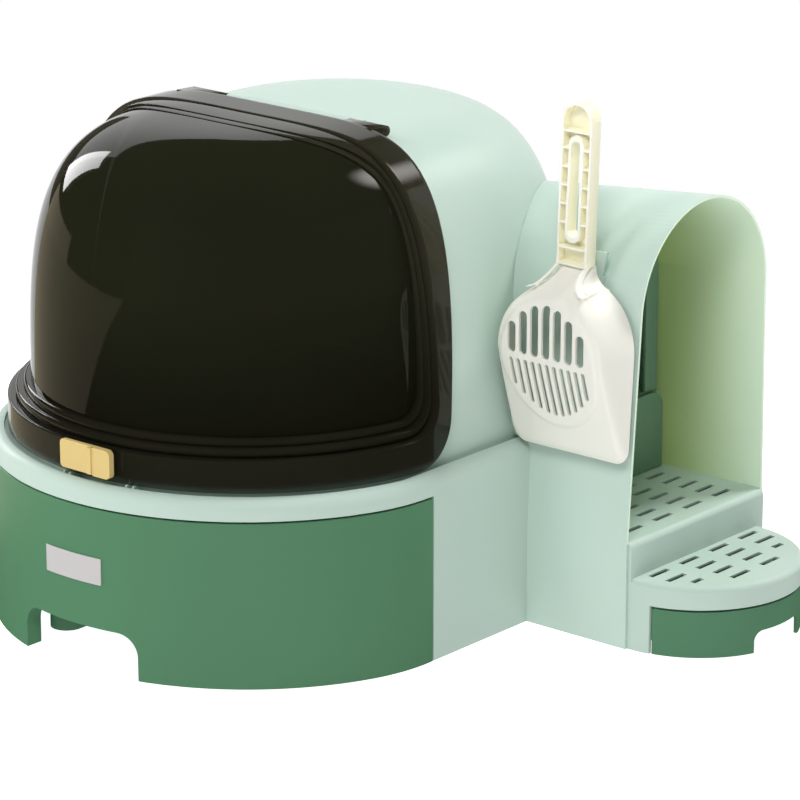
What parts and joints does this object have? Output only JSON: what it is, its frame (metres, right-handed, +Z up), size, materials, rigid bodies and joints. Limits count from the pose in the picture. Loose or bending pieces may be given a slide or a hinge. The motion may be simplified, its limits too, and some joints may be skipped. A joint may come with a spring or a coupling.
{
  "type": "drawer litter box",
  "caption": "Enclosed cat litter box with a bowed pull-out drawer, a hinged see-through visor hood, a stepped side tunnel with its own drawer, and a hung scoop.",
  "frame": {"origin": "on the floor at the centre of the main body's footprint, on the bottom of the middle foot", "axes": "+Z up, the drawer pulls out to -Y, the tunnel leaves the body to +X"},
  "size_m": [0.577, 0.509, 0.419],
  "materials": {
    "mint_plastic": "satin",
    "mint_sheet": "satin",
    "green_plastic": "satin",
    "smoke_clear": "polished",
    "yellow_plastic": "satin",
    "cream_plastic": "satin",
    "label_plastic": "satin",
    "foot_rubber": "matte",
    "pin_steel": "brushed"
  },
  "bodies": {
    "housing": {"base_shell": "mint_plastic", "drawer_runners": "mint_plastic", "cross_ties": "mint_plastic", "rubber_feet": "foot_rubber", "dome_hood": "mint_plastic", "hood_clips": "mint_plastic", "hinge_mount": "mint_plastic", "hinge_pins": "pin_steel", "hinge_screws": "pin_steel", "latch_keeper": "mint_plastic", "latch_strike": "mint_plastic", "tunnel_cover": "mint_sheet", "entrance_collar": "mint_plastic", "entrance_sill": "mint_plastic", "corridor_base": "mint_plastic", "corridor_runners": "mint_plastic", "scoop_hook": "mint_plastic"},
    "visor": {"visor_frame": "smoke_clear", "visor_window": "smoke_clear"},
    "latch": {"latch_slide": "yellow_plastic"},
    "main_drawer": {"drawer_front": "green_plastic", "litter_tray": "green_plastic", "label_plate": "label_plastic", "drawer_screws": "pin_steel"},
    "step_drawer": {"corridor_drawer_front": "green_plastic", "corridor_tray": "green_plastic"},
    "scoop": {"scoop_head": "cream_plastic", "scoop_handle": "cream_plastic"}
  },
  "joints": [
    {"name": "visor_hinge", "type": "hinge", "parent": "housing", "child": "visor", "pos_m": [0, -0.008, 0.3832], "axis": [-1, 0, 0], "range_deg": [0, 140]},
    {"name": "latch_shift", "type": "slide", "parent": "visor", "child": "latch", "axis": [1, 0, 0], "range_m": [0, 0.01]},
    {"name": "main_drawer_slide", "type": "slide", "parent": "housing", "child": "main_drawer", "axis": [0, -1, 0], "range_m": [0, 0.3]},
    {"name": "step_drawer_slide", "type": "slide", "parent": "housing", "child": "step_drawer", "axis": [1, 0, 0], "range_m": [0, 0.12]},
    {"name": "scoop_lift", "type": "slide", "parent": "housing", "child": "scoop", "axis": [0, 0, 1], "range_m": [0, 0.06]}
  ]
}
